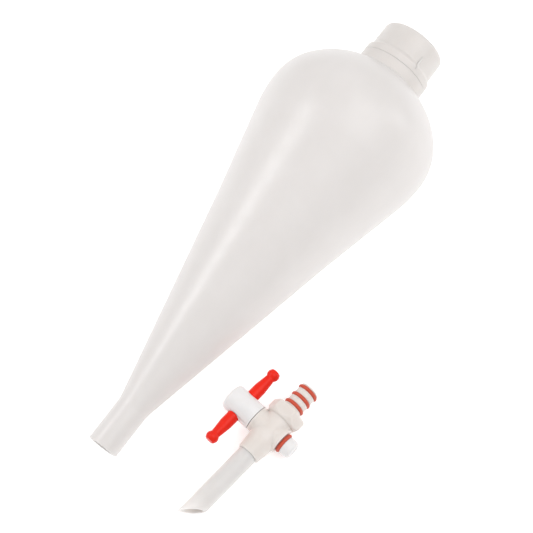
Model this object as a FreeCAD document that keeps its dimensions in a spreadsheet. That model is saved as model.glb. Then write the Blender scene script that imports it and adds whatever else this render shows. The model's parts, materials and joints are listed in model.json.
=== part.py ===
"""Separatory funnel in polypropylene with its screw cap and its removable stopcock.

The funnel lies on a bench on its bulge and the tip of its stem, with the cap on, and the
stopcock unit lies beside the stem.  The frame is +Z up, with the bench at Z = 0, +X along
the funnel towards its cap, and the origin under the middle of everything that lies there.
All sizes are in millimetres.

Two sets of own axes are used.  The funnel, the cap and its liner are drawn with +Z along
the funnel's axis, from the end of the stem.  The stopcock's pieces are drawn with their
origin where the flow axis and the plug's axis cross: +Z runs up the flow axis to the end
of the spigot, and +X along the plug to the end that carries the retaining ring.
"""

import FreeCAD, Part
import math
import os

import Sketcher

from FreeCAD import Placement, Rotation, Vector

# The driving dimensions.  Radii unless a name says otherwise.
SIZES = {
    # funnel body, along its own axis from the end of the stem
    "stem_radius": 10.05,
    "stem_length": 30.7,
    "socket_radius": 6.85,
    "socket_depth": 25.0,
    "cone_break_radius": 40.9,
    "cone_break": 170.0,
    "bulge_radius": 57.9,
    "bulge_height": 249.3,
    "bulge_arc": 84.0,
    "shoulder_arc": 37.9,
    "crown_arc": 54.5,
    "shoulder_top": 291.75,
    "wall": 1.9,
    "neck_root_radius": 22.0,
    "collar_base": 292.1,
    "collar_radius": 23.3,
    "collar_top": 299.2,
    "collar_bevel": 0.6,
    "neck_radius": 17.6,
    "neck_top": 321.0,
    "mouth_radius": 14.2,
    # the screw thread, the same pitch on the neck and in the cap
    "thread_pitch": 4.2333,
    "thread_turns": 2.0,
    "neck_thread_crest": 18.7,
    "neck_thread_base": 305.5,
    "cap_thread_crest": 18.05,
    "cap_thread_turns": 1.5,
    "thread_root_width": 2.4,
    "thread_crest_width": 1.0,
    "thread_bury": 0.4,
    # screw cap, from its lower edge
    "cap_base": 299.5,
    "band_radius": 23.3,
    "band_height": 4.4,
    "band_top": 6.6,
    "cap_radius": 21.6,
    "cap_top_radius": 21.3,
    "cap_length": 24.2,
    "cap_corner": 3.4,
    "cap_bore": 19.2,
    "cap_roof": 1.6,
    "rib_width": 1.1,
    "rib_proud": 0.3,
    "rib_length": 10.5,
    "rib_base": 2.4,
    "rib_bearing": -136.5,
    "liner_radius": 18.6,
    "liner_thickness": 1.0,
    "liner_gap": 0.05,
    # stopcock body
    "flow_bore": 2.5,
    "spigot_radius": 6.25,
    "spigot_end": 35.6,
    "spigot_bevel": 0.5,
    "ring_cord": 1.2,
    "ring_radius": 5.8,
    "first_ring": 33.2,
    "second_ring": 27.0,
    "third_ring": 21.0,
    "groove_half": 1.25,
    "grip_top": 17.5,
    "grip_base": 8.8,
    "grip_across": 21.4,
    "grip_corner": 1.6,
    "grip_bevel": 1.2,
    "grip_slope": 3.2,
    "grip_taper": 2.4,
    "valve_radius": 8.8,
    "boss_top": 8.0,
    "boss_radius": 7.5,
    "boss_end": 19.9,
    "boss_bevel": 0.6,
    "barrel_radius": 8.2,
    "barrel_rim": 8.55,
    "rim_width": 2.0,
    "barrel_head_end": 11.7,
    "barrel_nub_end": 9.6,
    "seat_head_radius": 6.65,
    "seat_nub_radius": 5.85,
    # outlet tube
    "tube_radius": 6.4,
    "tube_bore": 4.7,
    "tube_top": 9.8,
    "tube_short": 61.9,
    "tube_long": 73.4,
    # plug, handle and retaining ring
    "plug_clearance": 0.05,
    "plug_gap": 0.2,
    "head_radius": 8.65,
    "head_end": 32.7,
    "head_corner": 2.4,
    "nub_radius": 5.8,
    "nub_start": 12.3,
    "nub_end": 18.9,
    "nub_corner": 1.8,
    "retainer_cord": 1.25,
    "retainer_radius": 5.45,
    "retainer_place": 11.0,
    "handle_place": 22.7,
    "handle_radius": 4.0,
    "handle_straight": 15.0,
    "handle_waist": 2.95,
    "handle_waist_place": 24.2,
    "bulb_radius": 4.05,
    "bulb_start": 25.3,
    "bulb_end": 29.65,
    "bulb_corner": 1.9,
    # where things lie on the bench
    "stem_end_x": -159.06,
    "funnel_y": 17.41,
    "spigot_end_x": 104.8,
    "spigot_end_y": -76.9,
    "flow_bearing": -5.6,
    "plug_roll": 6.0,
}

X_AXIS = Vector(1, 0, 0)
Y_AXIS = Vector(0, 1, 0)
Z_AXIS = Vector(0, 0, 1)

document = FreeCAD.newDocument("separatory_funnel")


# ---------------------------------------------------------------- the sheet

def make_sheet():
    """Fill the spreadsheet: a name, its value and its alias on each row."""
    sheet = document.addObject("Spreadsheet::Sheet", "sizes")
    for row, (alias, value) in enumerate(SIZES.items(), start=1):
        sheet.set(f"A{row}", alias)
        sheet.set(f"B{row}", str(value))
        sheet.setAlias(f"B{row}", alias)
    document.recompute()
    return sheet


def amount(terms):
    """The value of a sum of sheet names and numbers, such as 'a + b - 2.0'."""
    total, sign = 0.0, 1.0
    for word in terms.split():
        if word in "+-":
            sign = 1.0 if word == "+" else -1.0
        else:
            total += sign * (SIZES[word] if word in SIZES else float(word))
            sign = 1.0
    return total


def formula(terms):
    """The same sum written as an expression that reads the sheet."""
    return " ".join(f"sizes.{word}" if word in SIZES else word for word in terms.split())


# ---------------------------------------------------------------- sketches

def new_body(label):
    """An empty PartDesign body with a label of its own."""
    body = document.addObject("PartDesign::Body", label)
    body.Label = label
    return body


def new_sketch(body, name, plane="XZ_Plane", offset=None):
    """A sketch on one of the body's own origin planes, shifted along its normal."""
    sketch = body.newObject("Sketcher::SketchObject", name)
    role = [part for part in body.Origin.OriginFeatures if part.Role == plane][0]
    sketch.AttachmentSupport = (role, [""])
    sketch.MapMode = "FlatFace"
    if offset:
        sketch.setExpression("AttachmentOffset.Base.z", formula(offset))
    return sketch


def pin_point(sketch, item, point, place):
    """Hold one point of a sketch at bound distances from the sketch's origin."""
    for kind, terms in zip(("DistanceX", "DistanceY"), place):
        index = sketch.addConstraint(
            Sketcher.Constraint(kind, -1, 1, item, point, amount(terms)))
        sketch.setExpression(f"Constraints[{index}]", formula(terms))


def bind_radius(sketch, item, terms):
    """Bind the radius of an arc or circle to the sheet."""
    index = sketch.addConstraint(Sketcher.Constraint("Radius", item, amount(terms)))
    sketch.setExpression(f"Constraints[{index}]", formula(terms))


def corner_cut(before, corner, after, radius):
    """Where a corner of this radius starts and ends, and the centre of its arc."""
    back, ahead = (before - corner).normalize(), (after - corner).normalize()
    half = back.getAngle(ahead) / 2
    reach = radius / math.tan(half)
    centre = corner + (back + ahead).normalize() * (radius / math.sin(half))
    return corner + back * reach, corner + ahead * reach, centre


def arc_between(start, end, centre):
    """The shorter arc from start to end, and whether it runs anticlockwise."""
    circle = Part.Circle(centre, Z_AXIS, (start - centre).Length)
    first = math.atan2(start.y - centre.y, start.x - centre.x)
    last = math.atan2(end.y - centre.y, end.x - centre.x)
    anticlockwise = (last - first) % math.tau < math.pi
    if not anticlockwise:
        first, last = last, first
    return Part.ArcOfCircle(circle, first, last), anticlockwise


def draw_outline(sketch, corners):
    """Draw a closed outline.  A corner is (x, y), or (x, y, radius) where it is rounded."""
    places = [Vector(amount(c[0]), amount(c[1]), 0) for c in corners]
    count = len(corners)
    cuts = []
    for i, corner in enumerate(corners):
        if len(corner) == 3:
            cuts.append(corner_cut(places[i - 1], places[i], places[(i + 1) % count],
                                   amount(corner[2])))
        else:
            cuts.append((places[i], places[i], None))
    sides = [sketch.addGeometry(Part.LineSegment(cuts[i][1], cuts[(i + 1) % count][0]), False)
             for i in range(count)]
    for i, corner in enumerate(corners):
        side_in, side_out = sides[i - 1], sides[i]
        start, end, centre = cuts[i]
        if centre is None:
            sketch.addConstraint(Sketcher.Constraint("Coincident", side_in, 2, side_out, 1))
            pin_point(sketch, side_out, 1, corner[:2])
            continue
        arc, anticlockwise = arc_between(start, end, centre)
        item = sketch.addGeometry(arc, False)
        first, last = (1, 2) if anticlockwise else (2, 1)
        sketch.addConstraint(Sketcher.Constraint("Tangent", side_in, 2, item, first))
        sketch.addConstraint(Sketcher.Constraint("Tangent", item, last, side_out, 1))
        mark = sketch.addGeometry(Part.Point(places[i]), True)
        pin_point(sketch, mark, 1, corner[:2])
        sketch.addConstraint(Sketcher.Constraint("PointOnObject", mark, 1, side_in))
        sketch.addConstraint(Sketcher.Constraint("PointOnObject", mark, 1, side_out))
        bind_radius(sketch, item, corner[2])


def turn(body, sketch, name, axis="V_Axis", cut=False):
    """Revolve a sketch a full turn about one of its axes, as a solid or as a cut."""
    kind = "PartDesign::Groove" if cut else "PartDesign::Revolution"
    feature = body.newObject(kind, name)
    feature.Profile = sketch
    feature.ReferenceAxis = (sketch, [axis])
    feature.Angle = 360
    document.recompute()
    return feature


def turned(label, corners, axis="V_Axis"):
    """A body made of one revolved outline."""
    body = new_body(label)
    sketch = new_sketch(body, f"{label}_outline")
    draw_outline(sketch, corners)
    turn(body, sketch, f"{label}_turned", axis)
    return body


def cut_hole(body, name, across, along, radius, plane="XY_Plane"):
    """A round hole right through the body, square to one of its origin planes."""
    sketch = new_sketch(body, f"{name}_circle", plane)
    centre = Vector(amount(across), amount(along), 0)
    item = sketch.addGeometry(Part.Circle(centre, Z_AXIS, amount(radius)), False)
    pin_point(sketch, item, 3, (across, along))
    bind_radius(sketch, item, radius)
    pocket = body.newObject("PartDesign::Pocket", name)
    pocket.Profile = sketch
    pocket.Type = "ThroughAll"
    pocket.Midplane = True
    document.recompute()
    return pocket


def add_thread(body, name, root, crest, base, turns):
    """A helical ridge about the body's Z axis, buried a little in the wall that bears it."""
    outward = amount(crest) > amount(root)
    bury = "- thread_bury" if outward else "+ thread_bury"
    sketch = new_sketch(body, f"{name}_ridge")
    half_root = amount("thread_root_width") / 2
    half_crest = amount("thread_crest_width") / 2
    draw_outline(sketch, [
        (f"{root} {bury}", f"{base} - {half_root}"),
        (crest, f"{base} - {half_crest}"),
        (crest, f"{base} + {half_crest}"),
        (f"{root} {bury}", f"{base} + {half_root}"),
    ])
    ridge = body.newObject("PartDesign::AdditiveHelix", name)
    ridge.Profile = sketch
    ridge.ReferenceAxis = (sketch, ["V_Axis"])
    ridge.Mode = "pitch-turns-angle"
    ridge.setExpression("Pitch", formula("thread_pitch"))
    ridge.setExpression("Turns", formula(turns))
    document.recompute()
    return ridge


# ---------------------------------------------------------------- the funnel body

def tangent_point(point, centre, radius):
    """Where a line from a point touches a circle, on the anticlockwise side."""
    reach = point - centre
    lean = math.acos(radius / reach.Length)
    back = math.atan2(reach.y, reach.x)
    return centre + Vector(math.cos(back + lean), math.sin(back + lean), 0) * radius


def circle_meet(first, first_radius, second, second_radius):
    """The point at these distances from two centres that lies nearer to the origin's axis."""
    span = (second - first).Length
    along = (first_radius ** 2 - second_radius ** 2 + span ** 2) / (2 * span)
    up = math.sqrt(first_radius ** 2 - along ** 2)
    line = (second - first).normalize()
    square = Vector(-line.y, line.x, 0)
    found = [first + line * along + square * up * sign for sign in (1, -1)]
    return min(found, key=lambda spot: abs(spot.x) + abs(spot.y - first.y))


def arc_centres():
    """The centres of the arcs that make the bulge, the shoulder and the crown."""
    crest = Vector(amount("bulge_radius"), amount("bulge_height"), 0)
    bulge = crest - X_AXIS * amount("bulge_arc")
    shoulder = crest - X_AXIS * amount("shoulder_arc")
    top = Vector(amount("neck_root_radius"), amount("shoulder_top"), 0)
    crown = circle_meet(shoulder, amount("crown_arc") - amount("shoulder_arc"),
                        top, amount("crown_arc"))
    return bulge, shoulder, crown


def wall_line(inset):
    """The points of one face of the wall, at this depth inside the outer face."""
    bulge, shoulder, crown = arc_centres()
    low = Vector(amount("cone_break_radius") - inset, amount("cone_break"), 0)
    rise = tangent_point(low, bulge, amount("bulge_arc") - inset)
    crest = bulge + X_AXIS * (amount("bulge_arc") - inset)
    turn_over = (shoulder - crown).normalize() * (amount("crown_arc") - inset) + crown
    return low, rise, crest, turn_over


def draw_wall(sketch, inset, centres, ends):
    """Draw one face of the wall from the cone's break to the neck, and return its items."""
    low, rise, crest, turn_over = wall_line(amount(inset))
    pieces = [Part.LineSegment(ends[0], low), Part.LineSegment(low, rise),
              arc_between(rise, crest, centres[0])[0],
              arc_between(crest, turn_over, centres[1])[0],
              arc_between(turn_over, ends[1], centres[2])[0]]
    items = [sketch.addGeometry(piece, False) for piece in pieces]
    cone, upper, bulge, shoulder, crown = items
    sketch.addConstraint([
        Sketcher.Constraint("Coincident", cone, 2, upper, 1),
        Sketcher.Constraint("Tangent", upper, 2, bulge, 1),
        Sketcher.Constraint("Coincident", bulge, 2, shoulder, 1),
        Sketcher.Constraint("Coincident", shoulder, 2, crown, 1),
        Sketcher.Constraint("Horizontal", bulge, 3, bulge, 2),
    ])
    pin_point(sketch, cone, 2, (f"cone_break_radius - {inset}", "cone_break"))
    pin_point(sketch, bulge, 2, (f"bulge_radius - {inset}", "bulge_height"))
    pin_point(sketch, crown, 1, (f"{turn_over.x:.6f}", f"{turn_over.y:.6f}"))
    for item, name in ((bulge, "bulge_arc"), (shoulder, "shoulder_arc"), (crown, "crown_arc")):
        bind_radius(sketch, item, f"{name} - {inset}")
    return items


def mouth_edge(centres):
    """Where the inner face of the crown runs into the bore of the mouth."""
    radius = amount("crown_arc") - amount("wall")
    reach = amount("mouth_radius") - centres[2].x
    return Vector(amount("mouth_radius"), centres[2].y + math.sqrt(radius ** 2 - reach ** 2), 0)


def join_path(sketch, first_item, last_item, path):
    """Join two drawn items with straight sides through bound corners."""
    places = [Vector(amount(x), amount(y), 0) for x, y in path]
    sides = [sketch.addGeometry(Part.LineSegment(a, b), False)
             for a, b in zip(places, places[1:])]
    for side, corner in zip(sides, path):
        pin_point(sketch, side, 1, corner)
    for side, following in zip(sides, sides[1:]):
        sketch.addConstraint(Sketcher.Constraint("Coincident", side, 2, following, 1))
    sketch.addConstraint(Sketcher.Constraint("Coincident", first_item[0], first_item[1],
                                             sides[0], 1))
    sketch.addConstraint(Sketcher.Constraint("Coincident", sides[-1], 2,
                                             last_item[0], last_item[1]))
    return sides


def make_funnel_body():
    """The pear-shaped body: stem with its socket, cone, bulge, neck collar and thread."""
    body = new_body("funnel_body")
    sketch = new_sketch(body, "funnel_outline")
    centres = arc_centres()
    outer_top = Vector(amount("neck_root_radius"), amount("shoulder_top"), 0)
    stem_top = Vector(amount("stem_radius"), amount("stem_length"), 0)
    socket_top = Vector(amount("socket_radius"), amount("socket_depth"), 0)
    inner_top = mouth_edge(centres)
    outer = draw_wall(sketch, "0", centres, (stem_top, outer_top))
    inner = draw_wall(sketch, "wall", centres, (socket_top, inner_top))
    join_path(sketch, (inner[0], 1), (outer[0], 1), [
        ("socket_radius", "socket_depth"), ("socket_radius", "0"),
        ("stem_radius", "0"), ("stem_radius", "stem_length")])
    neck = [
        ("neck_root_radius", "shoulder_top"), ("neck_root_radius", "collar_base"),
        ("collar_radius", "collar_base"), ("collar_radius", "collar_top - collar_bevel"),
        ("collar_radius - collar_bevel", "collar_top"), ("neck_radius", "collar_top"),
        ("neck_radius", "neck_top"), ("mouth_radius", "neck_top")]
    sides = [sketch.addGeometry(Part.LineSegment(Vector(amount(a[0]), amount(a[1]), 0),
                                                 Vector(amount(b[0]), amount(b[1]), 0)), False)
             for a, b in zip(neck, neck[1:])]
    for side, corner in zip(sides, neck):
        pin_point(sketch, side, 1, corner)
    for side, following in zip([outer[-1]] + sides, sides):
        sketch.addConstraint(Sketcher.Constraint("Coincident", side, 2, following, 1))
    bore = sketch.addGeometry(
        Part.LineSegment(Vector(amount("mouth_radius"), amount("neck_top"), 0), inner_top), False)
    pin_point(sketch, bore, 1, ("mouth_radius", "neck_top"))
    pin_point(sketch, bore, 2, ("mouth_radius", f"{inner_top.y:.6f}"))
    sketch.addConstraint([
        Sketcher.Constraint("Coincident", sides[-1], 2, bore, 1),
        Sketcher.Constraint("Coincident", bore, 2, inner[-1], 2),
    ])
    turn(body, sketch, "funnel_turned")
    add_thread(body, "neck_thread", "neck_radius", "neck_thread_crest",
               "neck_thread_base", "thread_turns")
    return body


# ---------------------------------------------------------------- cap and liner

def make_screw_cap():
    """The cap: a banded skirt with a rounded top, one index rib and a thread inside."""
    body = turned("screw_cap", [
        ("cap_bore", "0"),
        ("band_radius", "0"),
        ("band_radius", "band_height"),
        ("cap_radius", "band_top"),
        ("cap_top_radius", "cap_length", "cap_corner"),
        ("0", "cap_length"),
        ("0", "cap_length - cap_roof"),
        ("cap_bore", "cap_length - cap_roof"),
    ])
    sketch = new_sketch(body, "rib_outline", "XY_Plane", "rib_base")
    inner, outer = amount("cap_bore + 1.0"), amount("band_radius + rib_proud")
    half = amount("rib_width") / 2
    bearing = math.radians(amount("rib_bearing"))
    draw_outline(sketch, [
        (f"{out * math.cos(bearing) - side * math.sin(bearing):.4f}",
         f"{out * math.sin(bearing) + side * math.cos(bearing):.4f}", *corner)
        for out, side, corner in ((inner, -half, ()), (outer, -half, ("0.3",)),
                                  (outer, half, ("0.3",)), (inner, half, ()))])
    rib = body.newObject("PartDesign::Pad", "index_rib")
    rib.Profile = sketch
    rib.setExpression("Length", formula("rib_length"))
    document.recompute()
    half_pitch = amount("thread_pitch") / 2
    add_thread(body, "cap_thread", "cap_bore", "cap_thread_crest",
               f"neck_thread_base - cap_base + {half_pitch}", "cap_thread_turns")
    return body


def make_cap_liner():
    """The sealing disc under the roof of the cap, held behind the cap's thread."""
    liner = document.addObject("Part::Cylinder", "cap_liner")
    liner.Label = "cap_liner"
    liner.setExpression("Radius", formula("liner_radius"))
    liner.setExpression("Height", formula("liner_thickness"))
    return liner


# ---------------------------------------------------------------- the stopcock

def ring_places():
    """The heights of the spigot's three rings, from its end downwards."""
    return ("first_ring", "second_ring", "third_ring")


def grip_reach():
    """How far the corners of the six-sided grip would stand out if they were sharp."""
    return amount("grip_across") / 2 / math.cos(math.pi / 6)


def bevel_grip(body, name, height, rise, depth):
    """Turn one edge of the grip down to a cone, as on a nut."""
    reach = grip_reach()
    sketch = new_sketch(body, f"{name}_outline")
    draw_outline(sketch, [
        (f"{reach:.4f} - {depth}", height), (f"{reach + 1.0:.4f}", height),
        (f"{reach + 1.0:.4f}", f"{height} {rise} {rise[0]} 1.0"),
        (f"{reach:.4f}", f"{height} {rise}")])
    turn(body, sketch, name, cut=True)


def make_valve_body():
    """The stopcock's body: grooved spigot, six-sided grip, cross barrel and tube boss."""
    corners = [("flow_bore", "spigot_end"),
               ("spigot_radius", "spigot_end", "spigot_bevel")]
    for place in ring_places():
        corners += [("spigot_radius", f"{place} + groove_half"),
                    ("ring_radius - ring_cord", f"{place} + groove_half"),
                    ("ring_radius - ring_cord", f"{place} - groove_half"),
                    ("spigot_radius", f"{place} - groove_half")]
    corners += [("spigot_radius", "grip_top - 1.0"), ("valve_radius", "grip_top - 1.0"),
                ("valve_radius", "- boss_top"), ("boss_radius", "- boss_end", "boss_bevel"),
                ("tube_radius", "- boss_end"), ("tube_radius", "- tube_top"),
                ("flow_bore", "- tube_top")]
    body = turned("valve_body", corners)

    grip = new_sketch(body, "grip_outline", "XY_Plane", "grip_base")
    phase = -math.radians(amount("plug_roll"))
    reach = grip_reach()
    draw_outline(grip, [
        (f"{reach * math.cos(phase + side * math.pi / 3):.4f}",
         f"{reach * math.sin(phase + side * math.pi / 3):.4f}", "grip_corner")
        for side in range(6)])
    pad = body.newObject("PartDesign::Pad", "grip")
    pad.Profile = grip
    pad.setExpression("Length", formula("grip_top - grip_base"))
    document.recompute()
    bevel_grip(body, "grip_upper_bevel", "grip_top", "- grip_bevel", "grip_bevel")
    bevel_grip(body, "grip_under_bevel", "grip_base", "+ grip_slope", "grip_taper")

    barrel = new_sketch(body, "barrel_outline")
    draw_outline(barrel, [
        ("- barrel_head_end", "0"), ("- barrel_head_end", "barrel_rim", "0.4"),
        ("- barrel_head_end + rim_width", "barrel_rim"),
        ("- barrel_head_end + rim_width + 0.8", "barrel_radius"),
        ("barrel_nub_end - rim_width - 0.8", "barrel_radius"),
        ("barrel_nub_end - rim_width", "barrel_rim"),
        ("barrel_nub_end", "barrel_rim", "0.4"), ("barrel_nub_end", "0")])
    turn(body, barrel, "barrel", "H_Axis")

    seat = new_sketch(body, "seat_outline")
    draw_outline(seat, [
        ("- barrel_head_end - 0.5", "0"), ("- barrel_head_end - 0.5", "seat_head_radius"),
        ("- barrel_head_end", "seat_head_radius"), ("barrel_nub_end", "seat_nub_radius"),
        ("barrel_nub_end + 0.5", "seat_nub_radius"), ("barrel_nub_end + 0.5", "0")])
    turn(body, seat, "plug_seat", "H_Axis", cut=True)
    return body


def make_outlet_tube():
    """The outlet tube, pushed into the boss, its far end cut on the slant."""
    body = turned("outlet_tube", [
        ("tube_bore", "- tube_top"), ("tube_radius", "- tube_top"),
        ("tube_radius", "- tube_long - 1.0"), ("tube_bore", "- tube_long - 1.0")])
    slant = new_sketch(body, "slant_outline")
    lean = (amount("tube_long") - amount("tube_short")) / (2 * amount("tube_radius"))
    draw_outline(slant, [
        ("- tube_radius - 1.0", f"- tube_long - {lean:.4f}"),
        ("- tube_radius - 1.0", f"- tube_long - {lean + 3.0:.4f}"),
        ("tube_radius + 1.0", f"- tube_long - {lean + 3.0:.4f}"),
        ("tube_radius + 1.0", f"- tube_short + {lean:.4f}")])
    cut = body.newObject("PartDesign::Pocket", "slanted_end")
    cut.Profile = slant
    cut.Type = "ThroughAll"
    cut.Midplane = True
    document.recompute()
    return body


def make_ring(label, radius, cord):
    """A round-section sealing ring about its own Z axis."""
    ring = document.addObject("Part::Torus", label)
    ring.Label = label
    ring.setExpression("Radius1", formula(radius))
    ring.setExpression("Radius2", formula(cord))
    return ring


def make_plug():
    """The turning plug: big head for the handle, tapered seat, ring groove and end nub."""
    body = turned("stopcock_plug", [
        ("- head_end", "0"),
        ("- head_end", "head_radius", "head_corner"),
        ("- barrel_head_end - plug_gap", "head_radius"),
        ("- barrel_head_end - plug_gap", "seat_head_radius - plug_clearance"),
        ("- barrel_head_end", "seat_head_radius - plug_clearance"),
        ("barrel_nub_end", "seat_nub_radius - plug_clearance"),
        ("barrel_nub_end", "retainer_radius - retainer_cord"),
        ("nub_start", "retainer_radius - retainer_cord"),
        ("nub_start", "nub_radius"),
        ("nub_end", "nub_radius", "nub_corner"),
        ("nub_end", "0"),
    ], axis="H_Axis")
    cut_hole(body, "plug_port", "0", "0", "flow_bore")
    cut_hole(body, "handle_hole", "- handle_place", "0", "handle_radius")
    return body


def make_handle():
    """The cross bar that turns the plug, tapered each way to a rounded bulb."""
    half = [("bulb_radius", "bulb_end", "bulb_corner"), ("bulb_radius", "bulb_start", "0.6"),
            ("handle_waist", "handle_waist_place", "0.6"),
            ("handle_radius", "handle_straight", "6.0")]
    corners = [("0", "bulb_end")] + half
    corners += [(across, f"- {along}", corner) for across, along, corner in reversed(half)]
    corners.append(("0", "- bulb_end"))
    return turned("t_handle", corners)


# ---------------------------------------------------------------- laying everything down

def resting_slope():
    """How far the funnel's axis tips up when its bulge and its stem tip touch the bench."""
    centre = arc_centres()[0] - Vector(amount("stem_radius"), 0, 0)
    span = math.hypot(centre.x, centre.y)
    return math.atan2(centre.x, centre.y) + math.asin(amount("bulge_arc") / span)


def funnel_place(up_the_axis="0"):
    """The placement of a piece drawn on the funnel's axis, this far from the stem's end."""
    slope = resting_slope()
    along = Vector(math.cos(slope), 0, math.sin(slope))
    foot = Vector(amount("stem_end_x"), amount("funnel_y"),
                  amount("stem_radius") * math.cos(slope))
    turned_over = Rotation(Y_AXIS, 90 - math.degrees(slope))
    return Placement(foot + along * amount(up_the_axis), turned_over)


def grip_foot():
    """How far above the plug's axis the grip's flat ends, where the grip rests."""
    corner_height = grip_reach() - amount("grip_across") / 2
    return amount("grip_base") + amount("grip_slope") * (1 - corner_height / amount("grip_taper"))


def lying_rise():
    """How far the flow axis tips up when a flat of the grip and the tube's tip touch down."""
    drop = amount("grip_across") / 2 - amount("tube_radius")
    tube_tip = (amount("tube_short") + amount("tube_long")) / 2
    return math.atan2(drop, grip_foot() + tube_tip)


def flow_direction():
    """The stopcock's flow axis, from the outlet up to the spigot."""
    bearing, rise = math.radians(amount("flow_bearing")), lying_rise()
    return Vector(math.cos(bearing) * math.cos(rise), math.sin(bearing) * math.cos(rise),
                  math.sin(rise))


def stopcock_place():
    """The placement of the stopcock's pieces, lying on the grip and the tip of the tube."""
    flow = flow_direction()
    level = flow.cross(Z_AXIS).normalize()
    up = level.cross(flow)
    roll = math.radians(amount("plug_roll"))
    nub = level * math.cos(roll) - up * math.sin(roll)
    turned_over = Rotation(nub, flow.cross(nub), flow, "ZXY")
    spigot_end = Vector(amount("stem_end_x + spigot_end_x"),
                        amount("funnel_y + spigot_end_y"), 0)
    centre = spigot_end - flow * amount("spigot_end")
    centre.z = amount("grip_across") / 2 * up.z - flow.z * grip_foot()
    return Placement(centre, turned_over)


def moved(place, shift, rotation=None):
    """A placement moved within its own axes, and turned there if asked."""
    return place.multiply(Placement(shift, rotation or Rotation()))


def build():
    """Make every sub-part and lay it in its place."""
    make_sheet()
    funnel = make_funnel_body()
    funnel.Placement = funnel_place()
    cap = make_screw_cap()
    cap.Placement = funnel_place("cap_base")
    liner = make_cap_liner()
    liner.Placement = funnel_place("neck_top + liner_gap")
    stopcock = stopcock_place()
    parts = [funnel, cap, liner]
    for maker in (make_valve_body, make_outlet_tube, make_plug):
        piece = maker()
        piece.Placement = stopcock
        parts.append(piece)
    handle = make_handle()
    handle.Placement = moved(stopcock, X_AXIS * -amount("handle_place"))
    parts.append(handle)
    for label, place in zip(("spigot_ring_end", "spigot_ring_middle", "spigot_ring_grip"),
                            ring_places()):
        ring = make_ring(label, "ring_radius", "ring_cord")
        ring.Placement = moved(stopcock, Z_AXIS * amount(place))
        parts.append(ring)
    retainer = make_ring("retaining_ring", "retainer_radius", "retainer_cord")
    retainer.Placement = moved(stopcock, X_AXIS * amount("retainer_place"),
                               Rotation(Y_AXIS, 90))
    parts.append(retainer)
    document.recompute()
    return parts


def check(parts):
    """Stop if any object failed, or any sub-part is null, invalid or in several solids."""
    for item in document.Objects:
        if "Invalid" in item.State or "Error" in item.State:
            raise RuntimeError(f"{item.Label} failed: {item.State}")
    for part in parts:
        shape = part.Shape
        if shape.isNull() or not shape.isValid() or len(shape.Solids) != 1:
            raise RuntimeError(f"{part.Label} is not one valid solid")


def write(parts):
    """Write each sub-part to a file of its own and print its size."""
    os.makedirs("parts", exist_ok=True)
    for part in parts:
        part.Shape.exportStep(f"parts/{part.Label}.step")
        box = part.Shape.BoundBox
        print(f"{part.Label:20s} volume {part.Shape.Volume:10.1f}  "
              f"X {box.XMin:8.2f} {box.XMax:8.2f}  Y {box.YMin:8.2f} {box.YMax:8.2f}  "
              f"Z {box.ZMin:7.2f} {box.ZMax:7.2f}")


sub_parts = build()
check(sub_parts)
write(sub_parts)
print(f"the funnel's axis tips up {math.degrees(resting_slope()):.2f} degrees")
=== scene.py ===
"""Separatory funnel with its screw cap on, lying beside its push-in stopcock.

Each sub-assembly is a class that holds its sizes in millimetres, makes its meshes in its
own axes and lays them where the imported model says.  The funnel, cap and liner are made
with +Z up the funnel's axis from the end of the stem.  The stopcock's pieces are made
about the point where the flow axis and the plug's axis cross: +Z up the flow axis to the
end of the spigot, +X along the plug to its ring.
"""

import json
import logging
import math
from dataclasses import dataclass
from enum import Enum
from typing import Callable

import bpy
from mathutils import Matrix, Vector

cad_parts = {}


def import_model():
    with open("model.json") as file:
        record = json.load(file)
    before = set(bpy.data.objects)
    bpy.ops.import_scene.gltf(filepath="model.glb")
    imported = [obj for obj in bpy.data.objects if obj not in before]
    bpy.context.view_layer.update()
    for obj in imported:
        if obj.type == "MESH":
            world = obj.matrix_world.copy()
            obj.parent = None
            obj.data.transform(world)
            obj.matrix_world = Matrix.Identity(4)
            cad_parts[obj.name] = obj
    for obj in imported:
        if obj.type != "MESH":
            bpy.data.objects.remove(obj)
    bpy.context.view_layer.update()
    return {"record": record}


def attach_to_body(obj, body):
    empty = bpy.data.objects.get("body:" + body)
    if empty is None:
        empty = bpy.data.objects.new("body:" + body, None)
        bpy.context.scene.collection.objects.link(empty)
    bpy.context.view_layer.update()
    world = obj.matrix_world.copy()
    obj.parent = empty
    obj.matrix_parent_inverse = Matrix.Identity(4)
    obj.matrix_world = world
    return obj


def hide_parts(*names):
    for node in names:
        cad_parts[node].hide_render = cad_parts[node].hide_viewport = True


LOG = logging.getLogger("separatory_funnel")
MM = 0.001
THREAD_PITCH = 4.2333
THREAD_BASE = 305.5

Colour = tuple[float, float, float]
Corner = tuple[float, ...]
Profile = list[tuple[float, float]]


class Blend(Enum):
    """How one closed shape is worked into another."""

    UNITE = "UNION"
    CUT = "DIFFERENCE"
    KEEP_COMMON = "INTERSECT"


class Slot(Enum):
    """The record's material slots."""

    BODY = "translucent_polypropylene"
    CAP = "cap_polypropylene"
    LINER = "liner_foam"
    VALVE = "valve_polypropylene"
    TUBE = "tube_polypropylene"
    PLUG = "white_fluoropolymer"
    HANDLE = "red_plastic"
    RING = "ring_rubber"


# ------------------------------------------------------------------ profiles

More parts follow.
